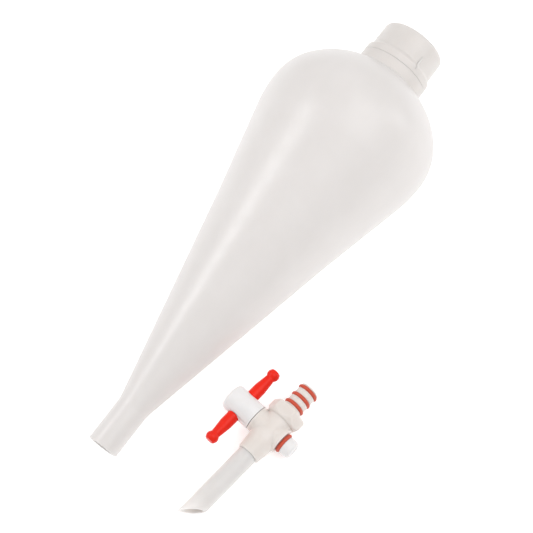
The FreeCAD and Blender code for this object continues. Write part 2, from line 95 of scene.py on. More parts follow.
def rounded(corners: list[Corner], closed: bool = False, turn: float = 10.0) -> Profile:
    """Work out a profile whose marked corners are rounded.

    Args:
        corners: (radius, height), or (radius, height, corner radius) where it is rounded.
        closed: whether the last corner joins the first.
        turn: the most that a rounded corner bends from one point to the next, in degrees.

    Returns:
        The profile's points; a closed one ends on its first point.
    """
    points: Profile = []
    count = len(corners)
    for i, corner in enumerate(corners):
        here = Vector(corner[:2])
        if len(corner) == 2:
            points.append((here.x, here.y))
            continue
        back = (Vector(corners[i - 1][:2]) - here).normalized()
        ahead = (Vector(corners[(i + 1) % count][:2]) - here).normalized()
        half = back.angle(ahead) / 2
        centre = here + (back + ahead).normalized() * (corner[2] / math.sin(half))
        first = here + back * (corner[2] / math.tan(half)) - centre
        last = here + ahead * (corner[2] / math.tan(half)) - centre
        points += sweep(centre, first, last, turn)
    if closed:
        points.append(points[0])
    return points


def sweep(centre: Vector, first: Vector, last: Vector, turn: float) -> Profile:
    """Points on an arc from one spoke to another, the short way round.

    Args:
        centre: the arc's centre.
        first: the spoke to the first point.
        last: the spoke to the last point.
        turn: the most that the arc bends from one point to the next, in degrees.

    Returns:
        The arc's points, both ends among them.
    """
    angle = math.atan2(first.cross(last), first.dot(last))
    steps = max(2, math.ceil(abs(math.degrees(angle)) / turn))
    spokes = [Matrix.Rotation(angle * k / steps, 2) @ first for k in range(steps + 1)]
    return [(centre.x + s.x, centre.y + s.y) for s in spokes]


# ------------------------------------------------------------------ the bench tools

def clear() -> None:
    """Leave edit mode and let go of everything."""
    if bpy.context.object and bpy.context.object.mode != "OBJECT":
        bpy.ops.object.mode_set(mode="OBJECT")
    bpy.ops.object.select_all(action="DESELECT")


def pick(piece: bpy.types.Object, *others: bpy.types.Object) -> None:
    """Select these objects, with the first one active."""
    clear()
    for each in (piece, *others):
        each.select_set(True)
    bpy.context.view_layer.objects.active = piece


def begin_profile(name: str, points: Profile) -> bpy.types.Object:
    """Draw a profile as a chain of edges in the XZ plane, and stay in edit mode.

    Args:
        name: the object's name.
        points: (radius, height) in millimetres.

    Returns:
        The object, with its whole chain selected.
    """
    clear()
    bpy.ops.mesh.primitive_plane_add(size=MM)
    piece = bpy.context.object
    piece.name = piece.data.name = name
    bpy.ops.object.mode_set(mode="EDIT")
    bpy.ops.mesh.select_mode(type="VERT")
    bpy.ops.mesh.select_all(action="SELECT")
    bpy.ops.mesh.merge(type="CENTER")
    places = [Vector((r, 0, z)) * MM for r, z in points]
    bpy.ops.transform.translate(value=places[0])
    for here, there in zip(places, places[1:]):
        bpy.ops.mesh.extrude_region_move(TRANSFORM_OT_translate={"value": there - here})
    bpy.ops.mesh.select_all(action="SELECT")
    return piece


def turned(name: str, points: Profile, steps: int = 96) -> bpy.types.Object:
    """Spin a profile a full turn about Z into a closed shape.

    Args:
        name: the object's name.
        points: (radius, height) in millimetres, both ends on the axis or meeting.
        steps: how many faces go round.

    Returns:
        The closed piece, in object mode.
    """
    piece = begin_profile(name, points)
    bpy.ops.mesh.spin(steps=steps, angle=math.tau, center=(0, 0, 0), axis=(0, 0, 1))
    bpy.ops.mesh.select_all(action="SELECT")
    bpy.ops.mesh.remove_doubles(threshold=2e-6)
    bpy.ops.mesh.normals_make_consistent(inside=False)
    bpy.ops.object.mode_set(mode="OBJECT")
    return piece


def finish_modifier(piece: bpy.types.Object, kind: str, **settings: object) -> None:
    """Add a modifier with these settings and apply it."""
    pick(piece)
    bpy.ops.object.modifier_add(type=kind)
    modifier = piece.modifiers[-1]
    for key, value in settings.items():
        setattr(modifier, key, value)
    bpy.ops.object.modifier_apply(modifier=modifier.name)


def work_in(piece: bpy.types.Object, tool: bpy.types.Object, how: Blend) -> None:
    """Unite, cut or intersect a piece with a closed tool shape, which is used up."""
    finish_modifier(piece, "BOOLEAN", operation=how.value, solver="EXACT", object=tool)
    bpy.data.meshes.remove(tool.data)


def attach(piece: bpy.types.Object, *others: bpy.types.Object) -> None:
    """Make the others part of this piece."""
    pick(piece, *others)
    bpy.ops.object.join()


def copy_of(piece: bpy.types.Object, name: str) -> bpy.types.Object:
    """A copy of a piece with a mesh of its own."""
    pick(piece)
    bpy.ops.object.duplicate()
    twin = bpy.context.object
    twin.name = twin.data.name = name
    return twin


def lay(piece: bpy.types.Object, place: Matrix) -> None:
    """Move a piece's mesh to its place and leave its object at the origin."""
    pick(piece)
    piece.matrix_world = place
    bpy.ops.object.transform_apply(location=True, rotation=True, scale=True)


def shade(piece: bpy.types.Object, sharp: float = 35.0) -> None:
    """Smooth shading, apart from edges that bend more than this many degrees."""
    pick(piece)
    bpy.ops.object.shade_smooth_by_angle(angle=math.radians(sharp))


def choose(piece: bpy.types.Object, kind: str, test: Callable[[Vector], bool]) -> None:
    """Select, in edit mode, the vertices, edges or faces that pass a test of their place.

    Args:
        piece: the piece to work on.
        kind: VERT, EDGE or FACE.
        test: given a place in millimetres: each vertex of an edge, or a face's middle.
    """
    pick(piece)
    bpy.ops.object.mode_set(mode="EDIT")
    bpy.ops.mesh.select_mode(type=kind)
    bpy.ops.mesh.select_all(action="DESELECT")
    bpy.ops.object.mode_set(mode="OBJECT")
    mesh = piece.data
    if kind == "FACE":
        for face in mesh.polygons:
            face.select = test(face.center / MM)
    else:
        good = [test(v.co / MM) for v in mesh.vertices]
        if kind == "VERT":
            for vertex in mesh.vertices:
                vertex.select = good[vertex.index]
        else:
            for edge in mesh.edges:
                edge.select = all(good[k] for k in edge.vertices)
    bpy.ops.object.mode_set(mode="EDIT")


def own_axes(origin: Vector, x_axis: Vector, z_axis: Vector) -> Matrix:
    """The matrix that lays a sub-assembly's own axes in the shared frame."""
    y_axis = z_axis.cross(x_axis).normalized()
    turn = Matrix((x_axis.normalized(), y_axis, z_axis.normalized())).transposed()
    return Matrix.Translation(origin) @ turn.to_4x4()


def raised(millimetres: float) -> Matrix:
    """A shift up the piece's own Z axis."""
    return Matrix.Translation((0, 0, millimetres * MM))


ALONG_X = Matrix.Rotation(math.pi / 2, 4, "Y")


@dataclass(frozen=True)
class ScrewThread:
    """A helical ridge of trapezium section, tapered to nothing at both ends."""

    root: float
    crest: float
    base: float
    turns: float
    pitch: float = THREAD_PITCH
    root_width: float = 2.4
    crest_width: float = 1.0
    bury: float = 0.4

    def make(self, name: str) -> bpy.types.Object:
        """Wind the ridge about Z.

        Args:
            name: the object's name.

        Returns:
            The closed ridge, a little of it inside the wall that bears it.
        """
        inside = self.root + math.copysign(self.bury, self.root - self.crest)
        wide, narrow = self.root_width / 2, self.crest_width / 2
        section = [(inside, self.base - wide), (self.crest, self.base - narrow),
                   (self.crest, self.base + narrow), (inside, self.base + wide),
                   (inside, self.base - wide)]
        ridge = begin_profile(name, section)
        bpy.ops.mesh.remove_doubles(threshold=2e-6)
        bpy.ops.object.mode_set(mode="OBJECT")
        steps = round(self.turns * 72)
        finish_modifier(ridge, "SCREW", angle=math.tau * self.turns, steps=steps,
                        render_steps=steps, screw_offset=self.pitch * self.turns * MM)
        for spin, height in ((0.0, self.base),
                             (self.turns, self.base + self.pitch * self.turns)):
            angle = math.tau * spin
            end = Vector((math.cos(angle) * inside, math.sin(angle) * inside, height))
            side = Vector((-math.sin(angle), math.cos(angle), 0))
            choose(ridge, "VERT", lambda place, end=end, side=side:
                   abs((place - end).dot(side)) < 0.05 and (place - end).length < 3.0)
            bpy.ops.transform.resize(value=(0.1, 0.1, 0.1), center_override=end * MM)
        bpy.ops.mesh.select_all(action="SELECT")
        bpy.ops.mesh.fill_holes(sides=0)
        bpy.ops.mesh.normals_make_consistent(inside=False)
        bpy.ops.object.mode_set(mode="OBJECT")
        return ridge


# ------------------------------------------------------------------ finishes

class Graph:
    """A material's nodes, laid out and linked by short calls."""

    def __init__(self, name: str) -> None:
        """Start a material with one Principled shader."""
        self.material = bpy.data.materials.new(name)
        self.material.use_nodes = True
        self.tree = self.material.node_tree
        self.shader = self.tree.nodes["Principled BSDF"]
        self.place = self.node("ShaderNodeTexCoord").outputs["Object"]

    def node(self, kind: str, **inputs: object) -> bpy.types.Node:
        """A new node with these inputs, each a number or another node's output."""
        made = self.tree.nodes.new(kind)
        for key, value in inputs.items():
            self.feed(made.inputs[key.replace("_", " ")], value)
        return made

    def feed(self, socket: bpy.types.NodeSocket, value: object) -> None:
        """Link an output to a socket, or set the socket's own value."""
        if isinstance(value, bpy.types.NodeSocket):
            self.tree.links.new(value, socket)
        else:
            socket.default_value = value

    def noise(self, size: float, detail: float = 3.0,
              place: bpy.types.NodeSocket | None = None) -> bpy.types.NodeSocket:
        """Noise whose lumps are about this many millimetres across."""
        made = self.node("ShaderNodeTexNoise", Vector=place or self.place,
                         Scale=1 / (size * MM), Detail=detail, Roughness=0.55)
        return made.outputs["Fac"]

    def stretched(self, direction: Vector, factor: float) -> bpy.types.NodeSocket:
        """Object coordinates squeezed along a direction, so a pattern draws out along it."""
        turn = Vector((1, 0, 0)).rotation_difference(direction).inverted().to_euler()
        made = self.node("ShaderNodeMapping", Vector=self.place, Rotation=tuple(turn))
        made.inputs["Scale"].default_value = (1 / factor, 1, 1)
        return made.outputs["Vector"]

    def between(self, amount: bpy.types.NodeSocket, low: float, high: float,
                start: float = 0.3, end: float = 0.7) -> bpy.types.NodeSocket:
        """A number that goes from low to high as the amount goes from start to end."""
        made = self.node("ShaderNodeMapRange", Value=amount)
        for key, value in (("From Min", start), ("From Max", end),
                           ("To Min", low), ("To Max", high)):
            made.inputs[key].default_value = value
        return made.outputs["Result"]

    def colours(self, amount: bpy.types.NodeSocket, low: Colour,
                high: Colour) -> bpy.types.NodeSocket:
        """A colour that goes from low to high as the amount goes from 0.3 to 0.7."""
        made = self.node("ShaderNodeValToRGB", Fac=amount)
        ramp = made.color_ramp.elements
        ramp[0].position, ramp[1].position = 0.3, 0.7
        ramp[0].color, ramp[1].color = (*low, 1), (*high, 1)
        return made.outputs["Color"]

    def bump(self, height: bpy.types.NodeSocket, depth: float,
             under: bpy.types.NodeSocket | None = None) -> bpy.types.NodeSocket:
        """Relief of this depth in millimetres, on top of another relief if given."""
        made = self.node("ShaderNodeBump", Height=height, Strength=1.0, Distance=depth * MM)
        if under:
            self.feed(made.inputs["Normal"], under)
        return made.outputs["Normal"]


@dataclass(frozen=True)
class MilkyPlastic:
    """Natural polypropylene: milky, satin, a little uneven where it flowed in the mould."""

    name: str
    light: Colour
    deep: Colour
    grain: Vector
    glow: float = 0.5
    glow_depth: float = 2.5
    satin: tuple[float, float] = (0.34, 0.46)
    cloud: float = 26.0
    streak: float = 5.0
    pebble: float = 0.55
    pebble_depth: float = 0.006

    def make(self) -> bpy.types.Material:
        """Build the material's nodes."""
        graph = Graph(self.name)
        streaks = graph.noise(self.streak, 4.0, graph.stretched(self.grain, 9.0))
        mixed = graph.node("ShaderNodeMath", Value=graph.noise(self.cloud, 2.0))
        mixed.operation = "MULTIPLY_ADD"
        mixed.inputs[1].default_value = 0.75
        scaled = graph.node("ShaderNodeMath", Value=streaks)
        scaled.operation = "MULTIPLY"
        scaled.inputs[1].default_value = 0.25
        graph.feed(mixed.inputs[2], scaled.outputs[0])
        tone = mixed.outputs[0]
        shader = graph.shader.inputs
        graph.feed(shader["Base Color"], graph.colours(tone, self.deep, self.light))
        graph.feed(shader["Roughness"],
                   graph.between(graph.noise(self.cloud / 4), *self.satin))
        wave = graph.bump(tone, 0.25)
        graph.feed(shader["Normal"],
                   graph.bump(graph.noise(self.pebble), self.pebble_depth, wave))
        shader["Subsurface Weight"].default_value = self.glow
        shader["Subsurface Radius"].default_value = (1.0, 0.93, 0.88)
        shader["Subsurface Scale"].default_value = self.glow_depth * MM
        shader["IOR"].default_value = 1.49
        return graph.material


@dataclass(frozen=True)
class SolidPlastic:
    """An opaque moulded plastic with a skin that catches the light."""

    name: str
    light: Colour
    deep: Colour
    gloss: tuple[float, float]
    shine: float = 0.5
    glow: float = 0.0
    cloud: float = 7.0
    ripple: float = 3.0
    ripple_depth: float = 0.05

    def make(self) -> bpy.types.Material:
        """Build the material's nodes."""
        graph = Graph(self.name)
        shader = graph.shader.inputs
        graph.feed(shader["Base Color"],
                   graph.colours(graph.noise(self.cloud), self.deep, self.light))
        graph.feed(shader["Roughness"],
                   graph.between(graph.noise(self.cloud / 3, 5.0), *self.gloss))
        fine = graph.bump(graph.noise(0.4), 0.006)
        graph.feed(shader["Normal"],
                   graph.bump(graph.noise(self.ripple, 1.0), self.ripple_depth, fine))
        shader["Specular IOR Level"].default_value = self.shine
        shader["Subsurface Weight"].default_value = self.glow
        shader["Subsurface Radius"].default_value = (1.0, 0.9, 0.8)
        shader["Subsurface Scale"].default_value = 1.5 * MM
        return graph.material


@dataclass(frozen=True)
class SealRubber:
    """Dull coloured rubber with a dusty, faintly mottled skin."""

    name: str
    light: Colour
    deep: Colour

    def make(self) -> bpy.types.Material:
        """Build the material's nodes."""
        graph = Graph(self.name)
        shader = graph.shader.inputs
        mottle = graph.noise(0.9, 5.0)
        graph.feed(shader["Base Color"], graph.colours(mottle, self.deep, self.light))
        graph.feed(shader["Roughness"], graph.between(mottle, 0.48, 0.66))
        graph.feed(shader["Normal"], graph.bump(graph.noise(0.35, 4.0), 0.02))
        shader["Sheen Weight"].default_value = 0.12
        shader["Sheen Roughness"].default_value = 0.5
        return graph.material


def coat(piece: bpy.types.Object, finish: bpy.types.Material) -> None:
    """Give a piece one material all over."""
    piece.data.materials.clear()
    piece.data.materials.append(finish)


def dress(piece: bpy.types.Object, slot: Slot, body: str, *nodes: str) -> None:
    """Hide the CAD nodes that a finished piece stands for and attach it to its CAD body."""
    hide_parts(*nodes)
    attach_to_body(piece, body)
    LOG.info("%s made: %d faces, moves with %s", piece.name, len(piece.data.polygons), body)


# ------------------------------------------------------------------ the funnel body

@dataclass
class PearBody:
    """The blow-moulded body: stem, cone, bulge, shoulder, collar and threaded neck."""

    place: Matrix
    stem_radius: float = 10.05
    stem_length: float = 30.7
    socket_radius: float = 6.85
    socket_depth: float = 25.0
    cone_break: Corner = (40.9, 170.0)
    bulge_radius: float = 57.9
    bulge_height: float = 249.3
    bulge_arc: float = 84.0
    shoulder_arc: float = 37.9
    crown_arc: float = 54.5
    neck_root: Corner = (22.0, 291.75)
    wall: float = 1.9
    collar_base: float = 292.1
    collar_radius: float = 23.3
    collar_top: float = 299.2
    neck_radius: float = 17.6
    neck_top: float = 321.0
    thread_crest: float = 18.7
    mouth_radius: float = 14.2

    def crown_centre(self) -> Vector:
        """Where the crown's arc is centred, to touch the shoulder and reach the neck."""
        first, second = self.shoulder_centre(), Vector(self.neck_root)
        near, far = self.crown_arc - self.shoulder_arc, self.crown_arc
        gap = second - first
        along = (near ** 2 - far ** 2 + gap.length_squared) / (2 * gap.length)
        across = math.sqrt(near ** 2 - along ** 2)
        way = gap.normalized()
        return first + way * along + Vector((-way.y, way.x)) * across

    def bulge_centre(self) -> Vector:
        """The centre of the long arc below the widest ring."""
        return Vector((self.bulge_radius - self.bulge_arc, self.bulge_height))

    def shoulder_centre(self) -> Vector:
        """The centre of the arc just above the widest ring."""
        return Vector((self.bulge_radius - self.shoulder_arc, self.bulge_height))

    def pear(self, inset: float, top: Vector) -> Profile:
        """The curve of the wall from the cone's break up to the neck.

        Args:
            inset: how far the curve lies inside the outer face.
            top: the point on the crown's arc where the curve ends.

        Returns:
            Points from the cone up to that point.
        """
        bulge, shoulder, crown = (self.bulge_centre(), self.shoulder_centre(),
                                  self.crown_centre())
        foot = Vector((self.cone_break[0] - inset, self.cone_break[1]))
        reach, radius = foot - bulge, self.bulge_arc - inset
        lean = math.atan2(reach.y, reach.x) + math.acos(radius / reach.length)
        level = Vector((1, 0))
        spoke = (shoulder - crown).normalized()
        curve = sweep(bulge, Vector((math.cos(lean), math.sin(lean))) * radius,
                      level * radius, 1.5)
        curve += sweep(shoulder, level * (self.shoulder_arc - inset),
                       spoke * (self.shoulder_arc - inset), 2.5)[1:]
        curve += sweep(crown, spoke * (self.crown_arc - inset), top - crown, 2.5)[1:]
        return curve

    def outline(self) -> Profile:
        """The whole wall's section, up the outside and down the inside."""
        inner_crown = self.crown_centre()
        drop = self.mouth_radius - inner_crown.x
        rise = math.sqrt((self.crown_arc - self.wall) ** 2 - drop ** 2)
        inner_top = Vector((self.mouth_radius, inner_crown.y + rise))
        corners: list[Corner] = [
            (self.socket_radius, 0.0, 0.5), (self.stem_radius, 0.0, 0.5),
            (self.stem_radius, self.stem_length, 25.0), (*self.cone_break, 160.0)]
        reach = self.collar_radius + 0.5
        crown = self.crown_centre()
        foot = crown.y + math.sqrt(self.crown_arc ** 2 - (reach - crown.x) ** 2)
        corners += self.pear(0.0, Vector((reach, foot)))
        corners += [
            (self.collar_radius, foot + 0.6, 0.3),
            (self.collar_radius, self.collar_top, 0.15),
            (self.neck_radius, self.collar_top, 0.6),
            (self.neck_radius, self.neck_top, 0.7), (self.mouth_radius, self.neck_top, 0.7)]
        corners += reversed(self.pear(self.wall, inner_top))
        corners += [(self.cone_break[0] - self.wall, self.cone_break[1], 120.0),
                    (self.socket_radius, self.socket_depth, 8.0)]
        return rounded(corners, closed=True, turn=9.0)

    def build(self, finish: bpy.types.Material, neck_finish: bpy.types.Material) -> None:
        """Turn the wall, wind the neck's thread on it and lay it down."""
        body = turned("pear_body", self.outline(), 192)
        thread = ScrewThread(self.neck_radius, self.thread_crest, THREAD_BASE, 2.0).make("neck_thread")
        attach(body, thread)
        shade(body, 40.0)
        body.data.materials.append(finish)
        body.data.materials.append(neck_finish)
        for face in body.data.polygons:
            face.material_index = int(face.center.z > self.collar_base * MM)
        lay(body, self.place)
        dress(body, Slot.BODY, "funnel", "funnel_body")


# ------------------------------------------------------------------ cap and liner

@dataclass
class Closure:
    """The screw cap with its one outside rib, and the foam disc that seals the mouth."""

    place: Matrix
    base: float = 299.5
    band_radius: float = 23.3
    band_height: float = 4.4
    band_top: float = 6.6
    skirt_radius: float = 21.6
    top_radius: float = 21.3
    length: float = 24.2
    corner: float = 3.4
    bore: float = 19.2
    thread_crest: float = 18.05
    roof: float = 1.6
    rib_base: float = 2.4
    rib_top: float = 12.2
    rib_proud: float = 0.3
    rib_bearing: float = -136.5
    liner_radius: float = 18.6
    liner_base: float = 321.05
    liner_thickness: float = 1.0

    def cap_outline(self) -> Profile:
        """From the middle of the top, down the skirt, and up inside to the roof."""
        inside = self.length - self.roof
        return rounded([
            (0.0, self.length - 0.25), (15.6, self.length - 0.25, 0.4),
            (16.2, self.length, 0.3), (self.top_radius, self.length, self.corner),
            (self.skirt_radius, self.band_top, 2.6), (self.band_radius, self.band_height, 1.6),
            (self.band_radius, -0.2, 0.15), (self.bore, -0.2, 0.5),
            (self.bore, inside, 0.8), (0.0, inside)])

    def rib(self) -> bpy.types.Object:
        """The moulded rib: a rounded bar that slopes in from the band to the skirt."""
        middle = (self.rib_base + self.rib_top) / 2
        inner, outer = self.bore + 1.0, self.band_radius + self.rib_proud
        clear()
        bpy.ops.mesh.primitive_cube_add(size=MM)
        bar = bpy.context.object
        bar.scale = (outer - inner, 1.1, self.rib_top - self.rib_base)
        bar.location = Vector(((outer + inner) / 2, 0, middle)) * MM
        bpy.ops.object.transform_apply(location=True, rotation=True, scale=True)
        choose(bar, "VERT", lambda place: place.x > outer - 0.1)
        bpy.ops.transform.resize(value=(1, 0.75, 0.93),
                                 center_override=Vector((outer, 0, middle)) * MM)
        choose(bar, "VERT", lambda place: place.x > outer - 0.1 and place.z > middle)
        bpy.ops.transform.translate(
            value=((self.skirt_radius + self.rib_proud - outer) * MM, 0, 0))
        bpy.ops.mesh.select_all(action="SELECT")
        bpy.ops.mesh.bevel(offset=0.28 * MM, segments=4, affect="EDGES")
        bpy.ops.object.mode_set(mode="OBJECT")
        lay(bar, Matrix.Rotation(math.radians(self.rib_bearing), 4, "Z"))
        return bar

    def build(self, cap_finish: bpy.types.Material, foam: bpy.types.Material) -> None:
        """Make the cap and its liner and lay them on the neck."""
        cap = turned("screw_closure", self.cap_outline(), 144)
        start = THREAD_BASE - self.base + THREAD_PITCH / 2
        thread = ScrewThread(self.bore, self.thread_crest, start, 1.5)
        attach(cap, thread.make("cap_thread"), self.rib())
        shade(cap, 40.0)
        lay(cap, self.place @ raised(self.base))
        coat(cap, cap_finish)
        dress(cap, Slot.CAP, "cap", "screw_cap")

        top = self.liner_thickness
        liner = turned("sealing_disc", rounded([
            (0.0, 0.0), (13.6, 0.0), (14.0, 0.08, 0.3), (17.8, 0.08, 0.3), (18.0, 0.0),
            (self.liner_radius, 0.0, 0.25), (self.liner_radius, top, 0.25), (0.0, top)]))
        shade(liner)
        lay(liner, self.place @ raised(self.liner_base))
        coat(liner, foam)
        dress(liner, Slot.LINER, "liner", "cap_liner")


# ------------------------------------------------------------------ the stopcock

def sealing_ring(name: str, radius: float, cord: float) -> bpy.types.Object:
    """A round-section ring about Z with a fine moulding line round its outside."""
    clear()
    bpy.ops.mesh.primitive_circle_add(
        vertices=28, radius=cord * MM, location=(radius * MM, 0, 0),
        rotation=(math.pi / 2, 0, 0))
    ring = bpy.context.object
    ring.name = ring.data.name = name
    bpy.ops.object.transform_apply(location=True, rotation=True, scale=True)
    choose(ring, "VERT", lambda place: place.x > radius + cord - 0.01)
    bpy.ops.transform.translate(value=(0.04 * MM, 0, 0))
    bpy.ops.mesh.select_all(action="SELECT")
    bpy.ops.mesh.spin(steps=72, angle=math.tau, center=(0, 0, 0), axis=(0, 0, 1))
    bpy.ops.mesh.select_all(action="SELECT")
    bpy.ops.mesh.remove_doubles(threshold=2e-6)
    bpy.ops.mesh.normals_make_consistent(inside=False)
    bpy.ops.object.mode_set(mode="OBJECT")
    shade(ring, 60.0)
    return ring


@dataclass
class StopcockHousing:
    """The valve body with its spigot and grip, the slanted outlet tube and three rings."""

    place: Matrix
    flow_bore: float = 2.5
    spigot_radius: float = 6.25
    spigot_end: float = 35.6
    ring_radius: float = 5.8
    ring_cord: float = 1.2
    ring_places: tuple[float, ...] = (33.2, 27.0, 21.0)
    groove_half: float = 1.25
    grip_top: float = 17.5
    grip_base: float = 8.8
    grip_across: float = 21.4
    grip_turn: float = -6.0
    core_radius: float = 8.8
    boss_top: float = 8.0
    boss_radius: float = 7.5
    boss_end: float = 19.9
    tube_radius: float = 6.4
    tube_bore: float = 4.7
    tube_top: float = 9.8
    tube_short: float = 61.9
    tube_long: float = 73.4

    def grip(self) -> bpy.types.Object:
        """The six-sided grip, its corners rounded and its ends coned like a nut's."""
        reach = self.grip_across / 2 / math.cos(math.pi / 6)
        middle = (self.grip_top + self.grip_base) / 2
        clear()
        bpy.ops.mesh.primitive_cylinder_add(
            vertices=6, radius=reach * MM, depth=(self.grip_top - self.grip_base) * MM,
            location=(0, 0, middle * MM), rotation=(0, 0, math.radians(self.grip_turn + 30)))
        grip = bpy.context.object
        bpy.ops.object.transform_apply(location=True, rotation=True, scale=True)
        bpy.ops.object.mode_set(mode="EDIT")
        bpy.ops.mesh.select_mode(type="EDGE")
        bpy.ops.object.mode_set(mode="OBJECT")
        for edge in grip.data.edges:
            low, high = (grip.data.vertices[k].co for k in edge.vertices)
            edge.select = abs(low.z - high.z) > MM
        bpy.ops.object.mode_set(mode="EDIT")
        bpy.ops.mesh.bevel(offset=0.95 * MM, segments=5, affect="EDGES")
        bpy.ops.object.mode_set(mode="OBJECT")
        cones = turned("grip_cones", [
            (0.0, self.grip_base), (reach - 2.4, self.grip_base),
            (reach, self.grip_base + 3.2), (reach, self.grip_top - 1.2),
            (reach - 1.2, self.grip_top), (0.0, self.grip_top)])
        work_in(grip, cones, Blend.KEEP_COMMON)
        return grip

    def moulded_core(self) -> bpy.types.Object:
        """Core, boss, grip and cross barrel run together with small moulded fillets."""
        core = turned("valve_housing", rounded([
            (0.0, self.grip_top - 1.5), (self.core_radius, self.grip_top - 1.5),
            (self.core_radius, -self.boss_top, 3.0), (self.boss_radius, -self.boss_end, 0.7),
            (0.0, -self.boss_end)]))
        barrel = turned("cross_barrel", rounded([
            (0.0, -11.7), (8.55, -11.7, 0.5), (8.55, -9.7, 0.3), (8.2, -8.9, 0.3),
            (8.2, 6.8, 0.3), (8.55, 7.6, 0.3), (8.55, 9.6, 0.5), (0.0, 9.6)]))
        lay(barrel, ALONG_X)
        work_in(core, self.grip(), Blend.UNITE)
        work_in(core, barrel, Blend.UNITE)
        finish_modifier(core, "REMESH", mode="VOXEL", voxel_size=0.34 * MM)
        finish_modifier(core, "SMOOTH", factor=0.5, iterations=7)
        return core

    def spigot(self) -> bpy.types.Object:
        """The plain round spigot with a groove for each ring."""
        corners: list[Corner] = [(0.0, self.spigot_end),
                                 (self.spigot_radius, self.spigot_end, 0.6)]
        floor = self.ring_radius - self.ring_cord
        for place in self.ring_places:
            top, foot = place + self.groove_half, place - self.groove_half
            corners += [(self.spigot_radius, top, 0.15), (floor, top, 0.3),
                        (floor, foot, 0.3), (self.spigot_radius, foot, 0.15)]
        corners += [(self.spigot_radius, self.grip_top - 3.0), (0.0, self.grip_top - 3.0)]
        return turned("spigot", rounded(corners, turn=18.0))

    def housing(self) -> bpy.types.Object:
        """The whole valve body, bored for the flow, the tube and the plug."""
        body = self.moulded_core()
        work_in(body, self.spigot(), Blend.UNITE)
        bore = turned("flow_bore", rounded([
            (0.0, -self.boss_end - 1), (self.tube_radius, -self.boss_end - 1),
            (self.tube_radius, -self.tube_top), (self.flow_bore, -self.tube_top),
            (self.flow_bore, self.spigot_end - 0.6),
            (self.flow_bore + 1.2, self.spigot_end + 0.6), (0.0, self.spigot_end + 0.6)]), 64)
        work_in(body, bore, Blend.CUT)
        seat = turned("plug_seat", [
            (0.0, -13.0), (7.3, -13.0), (6.65, -11.3), (5.85, 9.4), (6.3, 10.6),
            (0.0, 10.6)], 72)
        lay(seat, ALONG_X)
        work_in(body, seat, Blend.CUT)
        return body

    def tube(self) -> bpy.types.Object:
        """The outlet tube, cut on the slant, with both edges of the cut eased."""
        end = self.tube_long + 6
        tube = turned("slanted_outlet", rounded([
            (self.tube_bore, -self.tube_top, 0.2), (self.tube_radius, -self.tube_top, 0.2),
            (self.tube_radius, -self.boss_end - 0.2), (self.tube_radius, -40.0),
            (self.tube_radius, -end), (self.tube_bore, -end), (self.tube_bore, -40.0)],
            closed=True), 96)
        middle = Vector((0, 0, -(self.tube_short + self.tube_long) / 2))
        slant = Vector((self.tube_long - self.tube_short, 0, -2 * self.tube_radius))
        pick(tube)
        bpy.ops.object.mode_set(mode="EDIT")
        bpy.ops.mesh.select_mode(type="EDGE")
        bpy.ops.mesh.select_all(action="SELECT")
        bpy.ops.mesh.bisect(plane_co=middle * MM, plane_no=slant.normalized(),
                            clear_outer=True)
        bpy.ops.mesh.select_all(action="DESELECT")
        bpy.ops.mesh.select_non_manifold()
        bpy.ops.mesh.bridge_edge_loops()
        bpy.ops.mesh.region_to_loop()
        bpy.ops.mesh.bevel(offset=0.25 * MM, segments=3, affect="EDGES")
        bpy.ops.mesh.select_all(action="SELECT")
        bpy.ops.mesh.normals_make_consistent(inside=False)
        bpy.ops.object.mode_set(mode="OBJECT")
        return tube

    def build(self, valve: bpy.types.Material, tube: bpy.types.Material,
              rubber: bpy.types.Material) -> None:
        """Make the housing, its tube and its rings and lay them beside the stem."""
        body = self.housing()
        shade(body, 38.0)
        lay(body, self.place)
        coat(body, valve)
        dress(body, Slot.VALVE, "stopcock", "valve_body")
        outlet = self.tube()
        shade(outlet, 40.0)
        lay(outlet, self.place)
        coat(outlet, tube)
        dress(outlet, Slot.TUBE, "stopcock", "outlet_tube")
        pattern = sealing_ring("spigot_seal", self.ring_radius, self.ring_cord)
        for spot, height in zip(("end", "middle", "grip"), self.ring_places):
            ring = copy_of(pattern, f"spigot_seal_{spot}")
            lay(ring, self.place @ raised(height))
            coat(ring, rubber)
            dress(ring, Slot.RING, "stopcock", f"spigot_ring_{spot}")
        bpy.data.meshes.remove(pattern.data)


